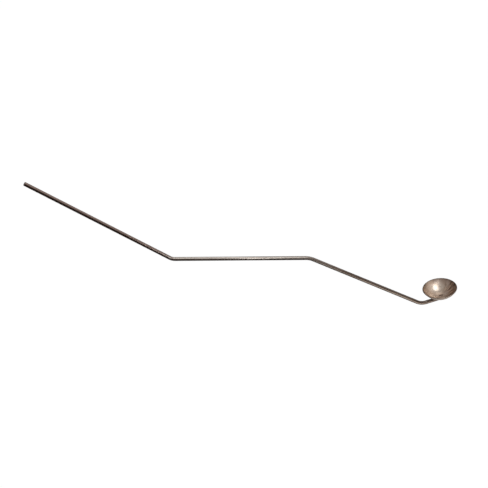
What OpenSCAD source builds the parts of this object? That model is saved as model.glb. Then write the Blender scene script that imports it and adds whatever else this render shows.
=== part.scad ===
// Long-handled dished cup: a cranked round rod with a small shallow bowl welded on its end.
// The rod lies in the XZ plane. The origin is the centre of its free end, +X runs towards the cup,
// and +Z is up along the cup's axis, so the rim is level.

/* [Rod] */
// Diameter of the round bar
rod_d = 6; // [5.5:0.5:7]
// Chamfer on the free end, which goes into a chuck
end_chamfer = 0.5; // [0.2:0.1:1]

/* [Runs] */
// Length of the shank, from the free end to the first corner
shank_run = 254; // [150:1:400]
// Length of the middle run, between the first two corners
middle_run = 210; // [120:1:300]
// Length of the drop run, between the last two corners
drop_run = 202; // [120:1:300]
// Length of the tail run, from the last corner to the rod's welded end
tail_run = 42; // [40:0.5:44]
// How far the shank falls from level, in degrees
shank_fall = 42; // [30:1:50]
// How far the middle run falls from level, in degrees
middle_fall = 10; // [0:1:20]
// How far the drop run falls from level, in degrees
drop_fall = 36; // [26:1:46]
// How far the tail rises from level under the cup, in degrees
tail_rise = 11; // [6:1:14]

/* [Bends] */
// Centreline radius of the bend between shank and middle run
first_bend_r = 15; // [10:1:40]
// Centreline radius of the bend between middle run and drop run
second_bend_r = 28; // [10:1:60]
// Centreline radius of the bend between drop run and tail
third_bend_r = 18; // [10:1:30]

/* [Cup] */
// Outside diameter of the cup at its rim
cup_d = 54; // [48:1:60]
// Outside depth of the cup below its rim
cup_depth = 16; // [13:0.5:20]
// Thickness of the cup's sheet
cup_wall = 1.2; // [1:0.1:1.6]
// Distance along the tail from the last corner to where it touches the cup
seat_along = 38; // [36:0.5:39]

/* [Welds] */
// Depth that the rod is ground away to seat the cup
seat_depth = 0.25; // [0.1:0.05:0.4]
// Radius of the fillet bead
bead_r = 1.9; // [1.6:0.1:2.2]
// How far the bead's middle lies below the cup where the rod touches it
bead_drop = 0.9; // [0.6:0.1:1.2]
// Length of the straight bead along each side of the rod
bead_length = 8; // [6:0.5:10]
// Length of the slot in the cup's floor that the plug weld fills
plug_length = 7; // [5:0.5:8]
// Width of that slot
plug_width = 3.4; // [2.5:0.1:4]
// Distance of the slot's middle past the cup's axis
plug_offset = 1; // [0:0.5:5]
// Height of the plug weld's crown above the cup's floor
plug_crown = 0.35; // [0.2:0.05:0.6]

/* [Hidden] */
$fn = 96;

rod_r = rod_d / 2;
runs = [shank_run, middle_run, drop_run, tail_run];
falls = [shank_fall, middle_fall, drop_fall, -tail_rise];
bend_rs = [first_bend_r, second_bend_r, third_bend_r];
tail = len(runs) - 1;

// Points of the rod's plane are [x, z].
// Unit vector along run i, and the unit vector square to it that points up.
function along(i) = [cos(falls[i]), -sin(falls[i])];
function above(i) = [sin(falls[i]), cos(falls[i])];

// Sharp corner where run i starts
function corner(i) = i == 0 ? [0, 0] : corner(i - 1) + runs[i - 1] * along(i - 1);

// Angle that bend i turns by, downwards positive, and the straight length it takes from each run
function turn(i) = falls[i + 1] - falls[i];
function setback(i) = i < 0 || i == tail ? 0 : bend_rs[i] * tan(abs(turn(i)) / 2);

// The middle of the cup's sheet is a cap of a sphere that ends in a round lip.
lip_r = cup_wall / 2;
cap_r = cup_d / 2 - lip_r;
cap_h = cup_depth - cup_wall;
middle_r = (pow(cap_r, 2) + pow(cap_h, 2)) / (2 * cap_h);
outer_r = middle_r + lip_r;
inner_r = middle_r - lip_r;
cap_angle = asin(cap_r / middle_r);

// Centre of that sphere, set so that the tail touches the cup seat_along from its corner
ball = corner(tail) + seat_along * along(tail) + (outer_r + rod_r - seat_depth) * above(tail);

// The bead starts to turn round the rod's end this far before it.
turn_before_end = 2.5;
// Its middle runs this far out from the rod's axis.
bead_spread = rod_r + 0.2;

// The bar is drawn down a little in its bends, which lap this far into the straights.
bend_thinning = 0.02;
bend_lap = 0.5;

// How far a cutting shape runs past what it cuts
past = 1;

// Places its children at a point of the rod's plane
module at(point) {
    translate([point.x, 0, point.y]) children();
}

// Stands its children's Z axis along run i
module pointing_along(i) {
    rotate([0, 90 + falls[i], 0]) children();
}

// The straight part of run i
module straight(i) {
    at(corner(i) + setback(i - 1) * along(i))
        pointing_along(i)
            cylinder(r = rod_r, h = runs[i] - setback(i - 1) - setback(i));
}

// Bend i joins run i to run i + 1, and laps a little way into both.
module bend(i) {
    curl = turn(i) < 0 ? 1 : -1;
    lap = bend_lap / bend_rs[i] * 180 / PI;
    first_angle = (curl > 0 ? -90 - falls[i] : 90 - falls[i + 1]) - lap;
    at(corner(i + 1) - setback(i) * along(i) + curl * bend_rs[i] * above(i))
        rotate([90, 0, 0])
            rotate([0, 0, first_angle])
                rotate_extrude(angle = abs(turn(i)) + 2 * lap)
                    translate([bend_rs[i], 0]) circle(r = rod_r - bend_thinning);
}

// What the chamfer takes off the free end
module chamfer_cut() {
    pointing_along(0)
        translate([0, 0, -past])
            difference() {
                cylinder(r = rod_r + past, h = end_chamfer + past);
                cylinder(r1 = rod_r - end_chamfer - past, r2 = rod_r, h = end_chamfer + past);
            }
}

module bent_rod() {
    color("#8c8580")
        difference() {
            union() {
                for (i = [0:tail]) straight(i);
                for (i = [0:tail - 1]) bend(i);
            }
            chamfer_cut();
            at(ball) sphere(r = outer_r);
        }
}

// The slot in the cup's floor, as a column that passes right through the sheet
module plug_column() {
    half = (plug_length - plug_width) / 2;
    translate([plug_offset, 0, -outer_r - past])
        linear_extrude(height = cup_wall + plug_crown + 3 * past) {
            for (side = [-1, 1]) translate([side * half, 0]) circle(d = plug_width);
            square([2 * half, plug_width], center = true);
        }
}

// Half section of the cup, with the sphere's centre at its origin
module cup_section() {
    far = 2 * outer_r;
    intersection() {
        difference() {
            circle(r = outer_r);
            circle(r = inner_r);
        }
        polygon([[0, 0], [0, -far], [far * sin(cap_angle), -far], far * [sin(cap_angle), -cos(cap_angle)]]);
    }
    translate(middle_r * [sin(cap_angle), -cos(cap_angle)]) circle(r = lip_r);
}

module dished_cup() {
    color("#a8988c")
        at(ball)
            difference() {
                rotate_extrude() cup_section();
                plug_column();
            }
}

module plug_weld() {
    color("#6a5546")
        at(ball)
            intersection() {
                plug_column();
                difference() {
                    sphere(r = outer_r);
                    sphere(r = inner_r - plug_crown);
                }
            }
}

// One bead runs along one side of the rod, round its end and back along the other side.
// The turn's centre is at the origin and the bead's two ends are at -X.
module bead() {
    for (side = [-1, 1])
        translate([-bead_length, side * bead_spread, 0]) {
            rotate([0, 90, 0]) cylinder(r = bead_r, h = bead_length);
            rotate([0, 0, 90]) rotate_extrude(angle = 180) bead_half_disc();
        }
    rotate([0, 0, -90])
        rotate_extrude(angle = 180) translate([bead_spread, 0]) circle(r = bead_r);
}

module bead_half_disc() {
    intersection() {
        circle(r = bead_r);
        translate([0, -bead_r]) square([bead_r, 2 * bead_r]);
    }
}

module fillet_weld() {
    turn_along = tail_run - turn_before_end - seat_along;
    color("#75695f")
        difference() {
            at(ball - (outer_r + bead_drop) * above(tail) + turn_along * along(tail))
                rotate([0, falls[tail], 0]) bead();
            straight(tail);
            at(ball) sphere(r = outer_r);
        }
}

bent_rod();
dished_cup();
plug_weld();
fillet_weld();
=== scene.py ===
"""Long-handled dished cup: a cranked bar with a small bowl welded on its end, on a plain pale ground.

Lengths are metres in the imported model's own frame: the bar's free end is at the origin, +X runs
towards the cup and +Z is up along the cup's axis.
"""
import math

import bmesh
import bpy
from mathutils import Matrix, Quaternion, Vector, noise


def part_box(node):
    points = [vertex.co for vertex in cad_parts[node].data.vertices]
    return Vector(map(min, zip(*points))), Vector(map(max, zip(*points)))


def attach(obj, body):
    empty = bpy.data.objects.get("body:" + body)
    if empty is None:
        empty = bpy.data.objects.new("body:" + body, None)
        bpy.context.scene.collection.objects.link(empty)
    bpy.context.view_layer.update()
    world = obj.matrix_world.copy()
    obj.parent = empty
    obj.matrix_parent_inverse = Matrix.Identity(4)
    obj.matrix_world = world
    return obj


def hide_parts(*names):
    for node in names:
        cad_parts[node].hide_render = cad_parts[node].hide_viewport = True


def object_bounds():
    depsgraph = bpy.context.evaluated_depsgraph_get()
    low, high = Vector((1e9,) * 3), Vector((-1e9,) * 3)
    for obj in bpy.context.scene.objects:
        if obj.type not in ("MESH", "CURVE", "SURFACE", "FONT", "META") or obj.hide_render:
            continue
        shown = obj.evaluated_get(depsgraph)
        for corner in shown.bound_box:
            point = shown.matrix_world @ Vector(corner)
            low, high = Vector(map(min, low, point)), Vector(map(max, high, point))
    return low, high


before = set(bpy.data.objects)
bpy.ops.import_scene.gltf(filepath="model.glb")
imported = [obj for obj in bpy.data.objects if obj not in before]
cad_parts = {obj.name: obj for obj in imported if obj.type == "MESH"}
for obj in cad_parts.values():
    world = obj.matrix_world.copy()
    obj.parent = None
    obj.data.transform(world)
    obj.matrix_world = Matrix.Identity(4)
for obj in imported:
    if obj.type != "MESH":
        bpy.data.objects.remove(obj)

MM = 0.001
CAD_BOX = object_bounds()

# ---------------------------------------------------------------- the design's driving sizes
BAR_R = 3.0 * MM
END_CHAMFER = 0.5 * MM
# The bar is this much slimmer in its bends, so that its facets stay inside the design's bends.
BEND_NECK = 0.055 * MM
RUNS = [254 * MM, 210 * MM, 202 * MM, 42 * MM]
FALLS = [math.radians(degrees) for degrees in (42, 10, 36, -11)]
BEND_RS = [15 * MM, 28 * MM, 18 * MM]

CUP_LO, CUP_HI = (Vector(corner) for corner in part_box("dished_cup"))
CUP_WALL = 1.2 * MM
LIP_R = CUP_WALL / 2
RIM_R = (CUP_HI.x - CUP_LO.x) / 2 - LIP_R
CAP_H = CUP_HI.z - CUP_LO.z - CUP_WALL
SHEET_R = (RIM_R ** 2 + CAP_H ** 2) / (2 * CAP_H)
OUTER_R = SHEET_R + LIP_R
INNER_R = SHEET_R - LIP_R
CAP_ANGLE = math.asin(RIM_R / SHEET_R)
BALL = Vector(((CUP_LO.x + CUP_HI.x) / 2, 0, CUP_LO.z + OUTER_R))

PLUG_LO, PLUG_HI = (Vector(corner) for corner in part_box("plug_weld"))
BEAD_R = 1.9 * MM
BEAD_SPREAD = BAR_R + 0.2 * MM
BEAD_DROP = 0.9 * MM
BEAD_LENGTH = 8 * MM
SEAT_ALONG = 38 * MM
TURN_BEFORE_END = 2.5 * MM

# How far the spun sheet strays from a true sphere: broad lumps, and fine rings about the axis
SHEET_LUMPS = 0.014 * MM
SHEET_RINGS = 0.003 * MM
# Steps along each straight of the fillet bead
BEAD_STEPS = 26


# ---------------------------------------------------------------- meshes
def along(fall):
    """Unit vector along a run that falls this much from level."""
    return Vector((math.cos(fall), 0, -math.sin(fall)))


def above(fall):
    """Unit vector square to that run, pointing up."""
    return Vector((math.sin(fall), 0, math.cos(fall)))


def corner(i):
    """The sharp corner where run i of the bar starts."""
    point = Vector((0, 0, 0))
    for run, fall in zip(RUNS[:i], FALLS[:i]):
        point += along(fall) * run
    return point


def smoothstep(low, high, value):
    t = min(max((value - low) / (high - low), 0.0), 1.0)
    return t * t * (3 - 2 * t)


def link(name, mesh, slot, *nodes):
    """Adds a piece of the object that stands for the named nodes of the frame."""
    for polygon in mesh.polygons:
        polygon.use_smooth = True
    piece = bpy.data.objects.new(name, mesh)
    bpy.context.scene.collection.objects.link(piece)
    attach(piece, "root")
    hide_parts(*nodes)
    return piece


def bridge(bm, ring_a, ring_b):
    """Quads between two closed rings of as many vertices."""
    count = len(ring_a)
    for i in range(count):
        j = (i + 1) % count
        bm.faces.new((ring_a[i], ring_a[j], ring_b[j], ring_b[i]))


def fan(bm, ring, point, flip):
    """Triangles from a closed ring to one point."""
    centre = bm.verts.new(point)
    count = len(ring)
    for i in range(count):
        j = (i + 1) % count
        pair = (ring[i], ring[j]) if flip else (ring[j], ring[i])
        bm.faces.new((*pair, centre))
    return centre


def to_mesh(bm, name):
    bmesh.ops.recalc_face_normals(bm, faces=bm.faces)
    mesh = bpy.data.meshes.new(name)
    bm.to_mesh(mesh)
    bm.free()
    return mesh


def bar_stations():
    """The bar's centreline as (point, fall, distance from the free end, radius), closest in the bends."""
    step = 4 * MM
    stations = []
    start, distance, used = Vector((0, 0, 0)), 0.0, 0.0
    for i, (run, fall) in enumerate(zip(RUNS, FALLS)):
        last = i == len(RUNS) - 1
        turn = 0 if last else FALLS[i + 1] - fall
        setback = 0 if last else BEND_RS[i] * math.tan(abs(turn) / 2)
        length = run - used - setback
        count = max(2, round(length / step))
        for k in range(count + 1):
            at = length * k / count
            stations.append((start + along(fall) * at, fall, distance + at, BAR_R))
        end = start + along(fall) * length
        distance += length
        if last:
            break
        sign = 1 if turn > 0 else -1
        centre = end - above(fall) * BEND_RS[i] * sign
        bend_steps = 14
        for k in range(1, bend_steps):
            now = fall + turn * k / bend_steps
            point = centre + above(now) * BEND_RS[i] * sign
            turned = BEND_RS[i] * abs(turn) * k / bend_steps
            stations.append((point, now, distance + turned, BAR_R - BEND_NECK))
        distance += BEND_RS[i] * abs(turn)
        start = centre + above(FALLS[i + 1]) * BEND_RS[i] * sign
        used = setback
    return stations


def mark_sharp(mesh, degrees):
    """Keeps edges steeper than this as crisp edges."""
    mesh.set_sharp_from_angle(angle=math.radians(degrees))


def make_bar():
    """The bar, with its sawn and chamfered free end, and its seat ground to the cup's curve."""
    sides = 40
    free_face, welded_face = (0.35, 0.7), (0.94, 0.6, 0.3)
    stations = bar_stations()
    start, start_fall, _, _ = stations[0]
    end, end_fall, end_at, _ = stations[-1]
    rings = [(start, start_fall, 0.0, BAR_R * share) for share in free_face]
    rings.append((start, start_fall, 0.0, BAR_R - END_CHAMFER))
    rings.append((start + along(start_fall) * END_CHAMFER, start_fall, END_CHAMFER, BAR_R))
    rings += stations[1:]
    rings += [(end, end_fall, end_at, BAR_R * share) for share in welded_face]
    bm = bmesh.new()
    bar_layer = bm.verts.layers.float_vector.new("bar")
    made = []
    for point, fall, at, radius in rings:
        ring = []
        for k in range(sides):
            angle = 2 * math.pi * k / sides
            outwards = above(fall) * math.cos(angle) + Vector((0, 1, 0)) * math.sin(angle)
            place = point + outwards * radius
            from_ball = place - BALL
            if from_ball.length < OUTER_R:
                place = BALL + from_ball.normalized() * OUTER_R
            vertex = bm.verts.new(place)
            vertex[bar_layer] = (radius * math.cos(angle), radius * math.sin(angle), at)
            ring.append(vertex)
        made.append(ring)
    for ring_a, ring_b in zip(made, made[1:]):
        bridge(bm, ring_a, ring_b)
    for ring, (point, _, at, _) in ((made[0], rings[0]), (made[-1], rings[-1])):
        fan(bm, ring, point, ring is made[0])[bar_layer] = (0, 0, at)
    mesh = to_mesh(bm, "cranked_bar")
    piece = link("cranked_bar", mesh, "drawn_steel", "bent_rod")
    mark_sharp(mesh, 35)
    return piece


def spun_unevenness(angle, around):
    """How far the sheet strays from a true sphere, as a spun or pressed bowl does: none at the rim."""
    lump_count, lump_layer, ring_count = 3, 7.3, 34
    share = angle / CAP_ANGLE
    fade = smoothstep(1.0, 0.8, share)
    spot = Vector((math.cos(around), math.sin(around), 0)) * lump_count * share
    wobble = noise.noise(spot + Vector((0, 0, lump_layer)))
    rings = 0.5 * math.sin(ring_count * share + 1.5 * wobble)
    return (SHEET_LUMPS * wobble + SHEET_RINGS * rings) * fade


def make_cup():
    """The bowl as one closed sheet: inside, round lip and outside."""
    around_steps, across_steps, lip_steps = 192, 72, 12

    def arc(radius, steps):
        """Points (radius, height, angle from the pole) of a sphere at these steps out of across_steps."""
        angles = [CAP_ANGLE * k / across_steps for k in steps]
        return [(radius * math.sin(angle), -radius * math.cos(angle), angle) for angle in angles]

    lip_centre = (SHEET_R * math.sin(CAP_ANGLE), -SHEET_R * math.cos(CAP_ANGLE))
    profile = arc(INNER_R, range(1, across_steps + 1))
    for k in range(1, lip_steps):
        turned = CAP_ANGLE + math.pi / 2 + math.pi - math.pi * k / lip_steps
        profile.append((
            lip_centre[0] + LIP_R * math.cos(turned),
            lip_centre[1] + LIP_R * math.sin(turned),
            CAP_ANGLE,
        ))
    profile += arc(OUTER_R, range(across_steps, 0, -1))
    bm = bmesh.new()
    rings = []
    for radius, height, angle in profile:
        ring = []
        for j in range(around_steps):
            around = 2 * math.pi * j / around_steps
            place = Vector((radius * math.cos(around), radius * math.sin(around), height))
            place -= place.normalized() * spun_unevenness(angle, around)
            ring.append(bm.verts.new(BALL + place))
        rings.append(ring)
    for ring_a, ring_b in zip(rings, rings[1:]):
        bridge(bm, ring_a, ring_b)
    floor_shift = spun_unevenness(0, 0)
    fan(bm, rings[0], BALL - Vector((0, 0, INNER_R - floor_shift)), True)
    fan(bm, rings[-1], BALL - Vector((0, 0, OUTER_R - floor_shift)), False)
    mesh = to_mesh(bm, "bowl")
    return link("bowl", mesh, "spun_steel", "dished_cup")


def make_plug():
    """The weld that shows on the cup's floor: a low oval puddle that goes down through the sheet."""
    rings_up, around_steps = 12, 64
    middle = (PLUG_LO + PLUG_HI) / 2
    half_width = (PLUG_HI.y - PLUG_LO.y) / 2
    half_straight = (PLUG_HI.x - PLUG_LO.x) / 2 - half_width
    crown, sink, crust, ragged_edge = 0.42 * MM, 0.03 * MM, 0.05 * MM, 0.07
    underside_share = 0.96
    bm = bmesh.new()

    def outline(angle, share):
        """A point of the oval shrunk to this share, before it is dropped onto the sheet."""
        edge = 1 + ragged_edge * noise.noise(Vector((2 * math.cos(angle), 2 * math.sin(angle), 0.4)))
        x = half_width * math.cos(angle) + half_straight * max(-1, min(1, 3 * math.cos(angle)))
        return Vector((middle.x + x * share * edge, half_width * math.sin(angle) * share * edge, 0))

    def dropped(point, radius):
        """Height of the sphere of this radius under the point."""
        x, y = point.x - BALL.x, point.y - BALL.y
        return BALL.z - math.sqrt(radius ** 2 - x ** 2 - y ** 2)

    def top_ring(share):
        ring = []
        for j in range(around_steps):
            point = outline(2 * math.pi * j / around_steps, share)
            rise = crown * (1 - share ** 2) ** 0.6
            rise += crust * noise.noise(point / MM * 0.9) * (1 - share)
            point.z = dropped(point, INNER_R) + rise - sink
            ring.append(bm.verts.new(point))
        return ring

    rings = [top_ring((k + 1) / rings_up) for k in range(rings_up)]
    bottom = []
    for j in range(around_steps):
        point = outline(2 * math.pi * j / around_steps, underside_share)
        point.z = dropped(point, OUTER_R)
        bottom.append(bm.verts.new(point))
    rings.append(bottom)
    for ring_a, ring_b in zip(rings, rings[1:]):
        bridge(bm, ring_a, ring_b)
    top = middle.copy()
    top.z = dropped(middle, INNER_R) + crown - sink
    fan(bm, rings[0], top, True)
    under = middle.copy()
    under.z = dropped(middle, OUTER_R)
    fan(bm, rings[-1], under, False)
    return link("plug_weld_bead", to_mesh(bm, "plug_weld_bead"), "weld_oxide", "plug_weld")


def bead_path():
    """The fillet's middle line in the tail's plane: (forward, sideways, heading) from the turn's centre."""
    path = []
    turn_steps = 30
    for k in range(BEAD_STEPS + 1):
        path.append((-BEAD_LENGTH * (1 - k / BEAD_STEPS), BEAD_SPREAD, 0.0))
    for k in range(1, turn_steps):
        angle = math.pi * k / turn_steps
        path.append((BEAD_SPREAD * math.sin(angle), BEAD_SPREAD * math.cos(angle), -angle))
    for k in range(BEAD_STEPS + 1):
        path.append((-BEAD_LENGTH * k / BEAD_STEPS, -BEAD_SPREAD, -math.pi))
    return path


def make_bead():
    """The rippled fillet that runs along one side of the bar, round its end and back."""
    sides, ripple_pitch, ripple, lumps = 28, 1.3 * MM, 0.06, 0.03
    slimmer, thinnest_end, rounding = 0.95, 0.05, 1.1 * BEAD_R
    tail = FALLS[-1]
    turn_along = RUNS[-1] - TURN_BEFORE_END - SEAT_ALONG
    turn_centre = BALL - above(tail) * (OUTER_R + BEAD_DROP) + along(tail) * turn_along
    sideways = Vector((0, 1, 0))
    path = bead_path()
    distance, rings, previous = 0.0, [], None
    bm = bmesh.new()
    for index, (forward, side, heading) in enumerate(path):
        place = turn_centre + along(tail) * forward + sideways * side
        if previous is not None:
            distance += (place - previous).length
        previous = place
        across = along(tail) * -math.sin(heading) + sideways * math.cos(heading)
        phase = (distance / ripple_pitch) % 1
        from_end = min(index, len(path) - 1 - index) * BEAD_LENGTH / BEAD_STEPS
        round_end = math.sqrt(max(thinnest_end, 1 - (1 - min(1, from_end / rounding)) ** 2))
        radius = BEAD_R * (slimmer - ripple * phase ** 2) * round_end
        radius *= 1 + lumps * noise.noise(place / MM * 0.6)
        ring = []
        for k in range(sides):
            angle = 2 * math.pi * k / sides
            outwards = across * math.cos(angle) + above(tail) * math.sin(angle)
            ring.append(bm.verts.new(place + outwards * radius))
        rings.append((place, ring))
    for (_, ring_a), (_, ring_b) in zip(rings, rings[1:]):
        bridge(bm, ring_a, ring_b)
    fan(bm, rings[0][1], rings[0][0], True)
    fan(bm, rings[-1][1], rings[-1][0], False)
    return link("fillet_bead", to_mesh(bm, "fillet_bead"), "weld_metal", "fillet_weld")


# ---------------------------------------------------------------- material helpers
class Nodes:
    """Builds one material's node tree."""

    def __init__(self, name):
        self.material = bpy.data.materials.new(name)
        self.material.use_nodes = True
        self.tree = self.material.node_tree
        self.tree.nodes.clear()
        self.shader = self.add("ShaderNodeBsdfPrincipled")
        output = self.add("ShaderNodeOutputMaterial")
        self.join(self.shader.outputs["BSDF"], output.inputs["Surface"])

    def add(self, kind, **settings):
        node = self.tree.nodes.new(kind)
        for key, value in settings.items():
            setattr(node, key, value)
        return node

    def join(self, source, target):
        """Links a socket to the target, or sets a plain value on it."""
        if isinstance(source, (int, float, tuple)):
            target.default_value = source
        else:
            self.tree.links.new(source, target)

    def position(self):
        """Place in the scene, in metres."""
        return self.add("ShaderNodeNewGeometry").outputs["Position"]

    def attribute(self, name):
        """A vector that the mesh keeps at each of its points."""
        return self.add("ShaderNodeAttribute", attribute_name=name).outputs["Vector"]

    def axes(self, vector):
        """The three coordinates of a vector."""
        node = self.add("ShaderNodeSeparateXYZ")
        self.join(vector, node.inputs[0])
        return node.outputs["X"], node.outputs["Y"], node.outputs["Z"]

    def vector(self, x, y):
        node = self.add("ShaderNodeCombineXYZ")
        self.join(x, node.inputs[0])
        self.join(y, node.inputs[1])
        return node.outputs[0]

    def scaled(self, vector, scale):
        node = self.add("ShaderNodeVectorMath", operation="MULTIPLY")
        self.join(vector, node.inputs[0])
        node.inputs[1].default_value = scale
        return node.outputs[0]

    def distance(self, vector, point, flatten=(1, 1, 1)):
        """Distance of vector from point, after both are scaled by flatten."""
        node = self.add("ShaderNodeVectorMath", operation="DISTANCE")
        self.join(self.scaled(vector, flatten), node.inputs[0])
        node.inputs[1].default_value = [a * b for a, b in zip(point, flatten)]
        return node.outputs["Value"]

    def noise(self, vector, scale, detail=4.0, roughness=0.55, distortion=0.0):
        """Noise with about scale features to each unit of the vector."""
        node = self.add("ShaderNodeTexNoise")
        self.join(vector, node.inputs["Vector"])
        node.inputs["Scale"].default_value = scale
        node.inputs["Detail"].default_value = detail
        node.inputs["Roughness"].default_value = roughness
        node.inputs["Distortion"].default_value = distortion
        return node.outputs["Fac"]

    def math(self, operation, a, b):
        node = self.add("ShaderNodeMath", operation=operation)
        self.join(a, node.inputs[0])
        self.join(b, node.inputs[1])
        return node.outputs[0]

    def fade(self, value, low, high, to_low=0.0, to_high=1.0):
        """Smooth step of value from low to high."""
        node = self.add("ShaderNodeMapRange", interpolation_type="SMOOTHSTEP")
        self.join(value, node.inputs["Value"])
        limits = {"From Min": low, "From Max": high, "To Min": to_low, "To Max": to_high}
        for key, number in limits.items():
            node.inputs[key].default_value = number
        return node.outputs["Result"]

    def mix(self, factor, a, b):
        """Colour a where factor is 0, colour b where it is 1."""
        node = self.add("ShaderNodeMix", data_type="RGBA")
        self.join(factor, node.inputs["Factor"])
        for socket in node.inputs:
            if socket.type == "RGBA" and socket.name in "AB":
                self.join({"A": a, "B": b}[socket.name], socket)
        return node.outputs[2]

    def bump(self, height, strength, distance, normal=None):
        node = self.add("ShaderNodeBump")
        self.join(height, node.inputs["Height"])
        node.inputs["Strength"].default_value = strength
        node.inputs["Distance"].default_value = distance
        if normal is not None:
            self.join(normal, node.inputs["Normal"])
        return node.outputs["Normal"]

    def finish(self, colour, roughness, normal, metallic=1.0):
        self.join(colour, self.shader.inputs["Base Color"])
        self.join(roughness, self.shader.inputs["Roughness"])
        self.join(normal, self.shader.inputs["Normal"])
        self.join(metallic, self.shader.inputs["Metallic"])
        return self.material


def rgb(red, green, blue):
    """An opaque colour."""
    return (red, green, blue, 1.0)


# ---------------------------------------------------------------- materials
def bar_material():
    """Drawn bar: long draw lines, a browner shank, painted shade that darkens the colour towards the welded
    end, where the finish is also rougher, and a dark heat-tinted skin at that end.
    """
    n = Nodes("drawn_bar")
    bar = n.attribute("bar")
    lines = n.noise(n.scaled(bar, (1, 1, 0.012)), 1500, detail=3)
    patches = n.noise(n.scaled(bar, (1, 1, 0.25)), 90, detail=5)
    specks = n.noise(bar, 900, detail=2)
    _, _, at = n.axes(bar)
    total = sum(RUNS)
    # Share of painted shade in the colour, and of a rougher finish, towards the welded end.
    painted_shade_and_rougher_finish = n.fade(at, 0.62 * total, 0.78 * total)
    heat = n.fade(at, total - RUNS[-1], total - RUNS[-1] / 3)
    clean = n.mix(n.fade(patches, 0.35, 0.7), rgb(0.62, 0.575, 0.53), rgb(0.52, 0.47, 0.425))
    painted_shade_browns = n.mix(n.fade(patches, 0.3, 0.7), rgb(0.44, 0.375, 0.325), rgb(0.33, 0.27, 0.23))
    rusty = n.fade(at, 0.85 * RUNS[0], 1.05 * RUNS[0], 1, 0)
    colour = n.mix(n.math("MULTIPLY", rusty, 0.6), clean, rgb(0.60, 0.44, 0.39))
    # Painted shade: darker browns mixed into the colour towards the welded end.
    colour = n.mix(painted_shade_and_rougher_finish, colour, painted_shade_browns)
    colour = n.mix(n.math("MULTIPLY", heat, 0.7), colour, rgb(0.17, 0.125, 0.11))
    colour = n.mix(n.fade(specks, 0.72, 0.82), colour, rgb(0.16, 0.125, 0.105))
    roughness = n.fade(lines, 0.3, 0.7, 0.20, 0.34)
    roughness = n.math("ADD", roughness, n.math("MULTIPLY", painted_shade_and_rougher_finish, 0.08))
    normal = n.bump(lines, 0.05, 0.04 * MM)
    normal = n.bump(specks, 0.02, 0.03 * MM, normal)
    return n.finish(colour, roughness, normal)


def bowl_material():
    """Spun sheet: fine rings about the axis, a streaked brown stain, a rougher lip darkened with painted
    shade, and a brown halo round the plug."""
    n = Nodes("spun_bowl")
    place = n.position()
    from_axis = n.distance(place, BALL, (1, 1, 0))
    wander = n.math("MULTIPLY", n.noise(place, 60, detail=2), 2 * MM)
    rings = n.noise(n.vector(from_axis, wander), 2600, detail=3)
    patches = n.noise(place, 85, detail=6, distortion=0.5)
    mottle = n.noise(place, 260, detail=5)
    x, y, _ = n.axes(place)
    bearing = n.math("ARCTAN2", y, n.math("SUBTRACT", x, BALL.x))
    fan_out = n.vector(n.math("MULTIPLY", bearing, 0.022), n.math("MULTIPLY", from_axis, 0.35))
    streaks = n.noise(fan_out, 260, detail=2)
    specks = n.noise(place, 900, detail=2)
    clean = n.mix(n.fade(patches, 0.35, 0.68), rgb(0.62, 0.53, 0.455), rgb(0.53, 0.425, 0.345))
    stained = n.mix(n.fade(streaks, 0.42, 0.58), rgb(0.68, 0.51, 0.39), rgb(0.20, 0.135, 0.10))
    stain_at = Vector((CUP_HI.x - 4 * MM, 4 * MM, CUP_HI.z - 4 * MM))
    stain = n.fade(n.distance(place, stain_at), 24 * MM, 8 * MM)
    stain = n.math("MULTIPLY", stain, n.fade(patches, 0.3, 0.6))
    colour = n.mix(stain, clean, stained)
    plug = (PLUG_LO + PLUG_HI) / 2
    halo = n.distance(place, plug, (0.72, 1, 1))
    scorched = n.math("MULTIPLY", n.fade(halo, 5.6 * MM, 2.2 * MM), 0.4)
    colour = n.mix(scorched, colour, rgb(0.24, 0.165, 0.12))
    colour = n.mix(n.fade(specks, 0.68, 0.8), colour, rgb(0.20, 0.14, 0.11))
    # Painted shade: the lip's top is darkened in colour; it is also made rougher.
    lip_painted_shade_and_roughness = n.fade(n.distance(place, (0, 0, CUP_HI.z), (0, 0, 1)), 1.4 * LIP_R, 0.8 * LIP_R)
    colour = n.mix(lip_painted_shade_and_roughness, colour, rgb(0.15, 0.12, 0.105))
    roughness = n.fade(rings, 0.3, 0.7, 0.25, 0.36)
    roughness = n.math("ADD", roughness, n.math("MULTIPLY", lip_painted_shade_and_roughness, 0.30))
    roughness = n.math("ADD", roughness, n.math("MULTIPLY", stain, 0.08))
    normal = n.bump(rings, 0.10, 0.03 * MM)
    normal = n.bump(mottle, 0.014, 0.12 * MM, normal)
    return n.finish(colour, roughness, normal)


def plug_material():
    """Brown scale on the plug weld."""
    n = Nodes("plug_scale")
    place = n.position()
    crust = n.noise(place, 900, detail=5)
    colour = n.mix(n.fade(crust, 0.35, 0.7), rgb(0.10, 0.065, 0.045), rgb(0.21, 0.145, 0.105))
    roughness = n.fade(crust, 0.3, 0.7, 0.42, 0.62)
    metallic = n.fade(crust, 0.3, 0.7, 0.55, 0.85)
    return n.finish(colour, roughness, n.bump(crust, 0.5, 0.12 * MM), metallic)


def bead_material():
    """Brushed weld metal with straw and blue heat colours and spots of soot."""
    n = Nodes("weld_bead")
    place = n.position()
    crust = n.noise(place, 700, detail=5)
    bands = n.noise(place, 220, detail=2)
    colour = n.mix(n.fade(bands, 0.35, 0.55), rgb(0.33, 0.25, 0.17), rgb(0.30, 0.285, 0.27))
    colour = n.mix(n.fade(bands, 0.56, 0.7), colour, rgb(0.16, 0.17, 0.22))
    colour = n.mix(n.fade(crust, 0.55, 0.75), colour, rgb(0.09, 0.07, 0.06))
    roughness = n.fade(crust, 0.3, 0.7, 0.32, 0.5)
    return n.finish(colour, roughness, n.bump(crust, 0.4, 0.1 * MM))


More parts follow.
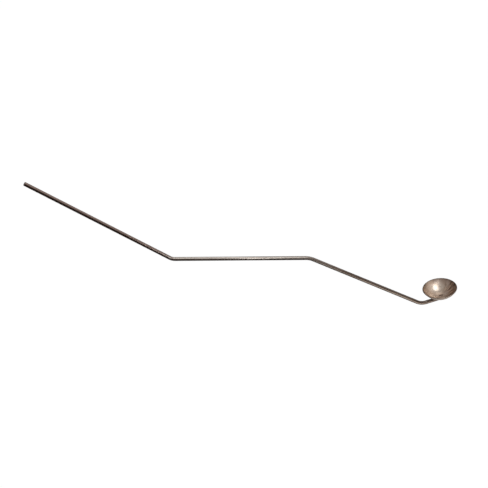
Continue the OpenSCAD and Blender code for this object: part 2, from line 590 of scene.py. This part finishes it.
def ground_material():
    """Plain white paper, evenly lit."""
    n = Nodes("pale_ground")
    n.join(rgb(0.25, 0.25, 0.25), n.shader.inputs["Base Color"])
    n.shader.inputs["Roughness"].default_value = 0.9
    n.shader.inputs["Emission Color"].default_value = rgb(0.986, 0.993, 1)
    n.shader.inputs["Emission Strength"].default_value = 0.93
    return n.material


# ---------------------------------------------------------------- studio
def make_ground():
    """A wide pale floor well below the part, which hangs by its shank. It stays out of reflections."""
    size, depth = 20.0, 0.75
    mesh = bpy.data.meshes.new("ground")
    corners = [(-size, -size, 0), (size, -size, 0), (size, size, 0), (-size, size, 0)]
    mesh.from_pydata(corners, [], [(0, 1, 2, 3)])
    ground = bpy.data.objects.new("ground", mesh)
    ground.location = (0, 0, CAD_BOX[0].z - depth)
    bpy.context.scene.collection.objects.link(ground)
    mesh.materials.append(ground_material())
    ground.visible_glossy = False


def make_panel(name, place, target, size, radiance, colour=(1, 1, 1), spin=0.0):
    """A soft rectangular light at place that faces target, turned by spin degrees about its own axis."""
    light = bpy.data.lights.new(name, "AREA")
    light.shape = "RECTANGLE"
    light.size, light.size_y = size
    light.energy = radiance * math.pi * size[0] * size[1]
    light.color = colour
    lamp = bpy.data.objects.new(name, light)
    lamp.location = place
    lamp.rotation_mode = "QUATERNION"
    facing = (Vector(target) - Vector(place)).to_track_quat("-Z", "Y")
    lamp.rotation_quaternion = facing @ Quaternion((0, 0, 1), math.radians(spin))
    lamp.visible_camera = False
    bpy.context.scene.collection.objects.link(lamp)
    return lamp


def make_room():
    """A room that is dark below and at eye level and lighter above. The camera sees plain white instead."""
    world = bpy.data.worlds.new("room")
    bpy.context.scene.world = world
    world.use_nodes = True
    tree = world.node_tree
    tree.nodes.clear()
    direction = tree.nodes.new("ShaderNodeTexCoord")
    axes = tree.nodes.new("ShaderNodeSeparateXYZ")
    tree.links.new(direction.outputs["Generated"], axes.inputs[0])
    ramp = tree.nodes.new("ShaderNodeValToRGB")
    low_tint, high_tint = Vector((1.0, 0.74, 0.67)), Vector((1.0, 0.96, 0.92))
    levels = {0.0: 0.05, 0.25: 0.02, 0.52: 0.014, 0.60: 0.04, 0.68: 0.20, 0.80: 0.36, 1.0: 0.50}
    stops = tuple(levels.items())
    ramp.color_ramp.elements[0].position = stops[0][0]
    ramp.color_ramp.elements[1].position = stops[-1][0]
    for at, _ in stops[1:-1]:
        ramp.color_ramp.elements.new(at)
    for element, (at, level) in zip(ramp.color_ramp.elements, stops):
        element.color = (*(low_tint.lerp(high_tint, max(0, 2 * at - 1)) * level), 1)
    half = tree.nodes.new("ShaderNodeMapRange")
    half.inputs["From Min"].default_value = -1
    tree.links.new(axes.outputs["Z"], half.inputs["Value"])
    tree.links.new(half.outputs["Result"], ramp.inputs["Fac"])
    room = tree.nodes.new("ShaderNodeBackground")
    tree.links.new(ramp.outputs["Color"], room.inputs["Color"])
    backdrop = tree.nodes.new("ShaderNodeBackground")
    backdrop.inputs["Color"].default_value = rgb(1, 1, 1)
    path = tree.nodes.new("ShaderNodeLightPath")
    mix = tree.nodes.new("ShaderNodeMixShader")
    tree.links.new(path.outputs["Is Camera Ray"], mix.inputs["Fac"])
    tree.links.new(room.outputs[0], mix.inputs[1])
    tree.links.new(backdrop.outputs[0], mix.inputs[2])
    output = tree.nodes.new("ShaderNodeOutputWorld")
    tree.links.new(mix.outputs[0], output.inputs["Surface"])


def make_camera():
    """A long lens from above and in front, rolled so that the middle run looks level."""
    azimuth, elevation, roll = (math.radians(angle) for angle in (1.73, 34.21, -9.61))
    off_centre = Vector((-7.43, 0.47, -0.38)) * MM
    aim = (CAD_BOX[0] + CAD_BOX[1]) / 2 + off_centre
    reach = 2.1503
    back = Vector((
        math.sin(azimuth) * math.cos(elevation),
        -math.cos(azimuth) * math.cos(elevation),
        math.sin(elevation),
    ))
    right = Vector((math.cos(azimuth), math.sin(azimuth), 0))
    up = back.cross(right)
    rolled_right = right * math.cos(roll) + up * math.sin(roll)
    rolled_up = up * math.cos(roll) - right * math.sin(roll)
    data = bpy.data.cameras.new("camera")
    data.sensor_width = 36
    data.lens = 105
    data.clip_start, data.clip_end = 0.05, 60
    camera = bpy.data.objects.new("camera", data)
    turn = Matrix((rolled_right, rolled_up, back)).transposed()
    camera.matrix_world = Matrix.Translation(aim + back * reach) @ turn.to_4x4()
    bpy.context.scene.collection.objects.link(camera)
    bpy.context.scene.camera = camera


def light_only(lamp, *lit):
    """Keeps a lamp, as a flag or barn door would, to these pieces."""
    receivers = bpy.data.collections.new(lamp.name + "_lights")
    for piece in lit:
        receivers.objects.link(piece)
    lamp.light_linking.receiver_collection = receivers


def make_lights(bar, bowl, plug, bead):
    """Lamps round the middle of the bowl's rim and round the middle of the bar's middle run."""
    cool, rosy, pale = (0.90, 0.96, 1), (1, 0.96, 0.95), (1, 0.95, 0.90)
    warm, amber = (1, 0.93, 0.87), (1, 0.90, 0.80)
    cup = Vector((BALL.x, 0, CUP_HI.z))
    run = (corner(1) + corner(2)) / 2

    def over_cup(name, offset, size, radiance, colour, spin=0.0):
        return make_panel(name, cup + Vector(offset), cup, size, radiance, colour, spin)

    def over_run(name, offset, aim, size, radiance):
        return make_panel(name, run + Vector(offset), run + Vector(aim), size, radiance)

    bowl_lamps = [
        over_cup("key", (0.425, -0.18, 1.08), (0.50, 0.84), 3.3, cool, -67),
        over_cup("streak", (0.12, -0.70, 0.88), (0.42, 0.42), 0.8, rosy),
        over_cup("side", (1.2, 0.05, 0.75), (2.8, 1.1), 0.45, amber),
        over_cup("under", (0.05, 0.25, -0.40), (1.0, 0.9), 0.42, pale),
        over_cup("back", (0.20, 0.75, 0.85), (0.55, 0.45), 0.75, pale),
    ]
    # The front panel is small and close, so that only the middle of that run mirrors it.
    bar_lamps = [
        over_run("overhead", (0.2078, -0.03, 1.1382), (0.0278, 0, -0.0018), (0.5, 0.7), 1.5),
        over_run("front", (0.0538, -0.18, 0.0782), (0.0228, 0, -0.0018), (0.03, 0.13), 3.2),
        over_run("rear", (0.8578, 1.05, 0.4382), (0.0278, 0, -0.0018), (0.8, 0.8), 0.35),
    ]
    under_front = cup + Vector((0.07025, -0.42, -0.28021))
    beside_cup = cup + Vector((0.03025, 0, -0.00021))
    make_panel("bounce", under_front, beside_cup, (0.34, 0.50), 1.3, warm)
    for lamp in bowl_lamps:
        light_only(lamp, bowl, plug, bead)
    for lamp in bar_lamps:
        light_only(lamp, bar)


make_camera()
make_room()
make_ground()
parts = [make_bar(), make_cup(), make_plug(), make_bead()]
finishes = [bar_material(), bowl_material(), plug_material(), bead_material()]
for piece, finish in zip(parts, finishes):
    piece.data.materials.append(finish)
make_lights(*parts)

view = bpy.context.scene.view_settings
view.view_transform = "Standard"
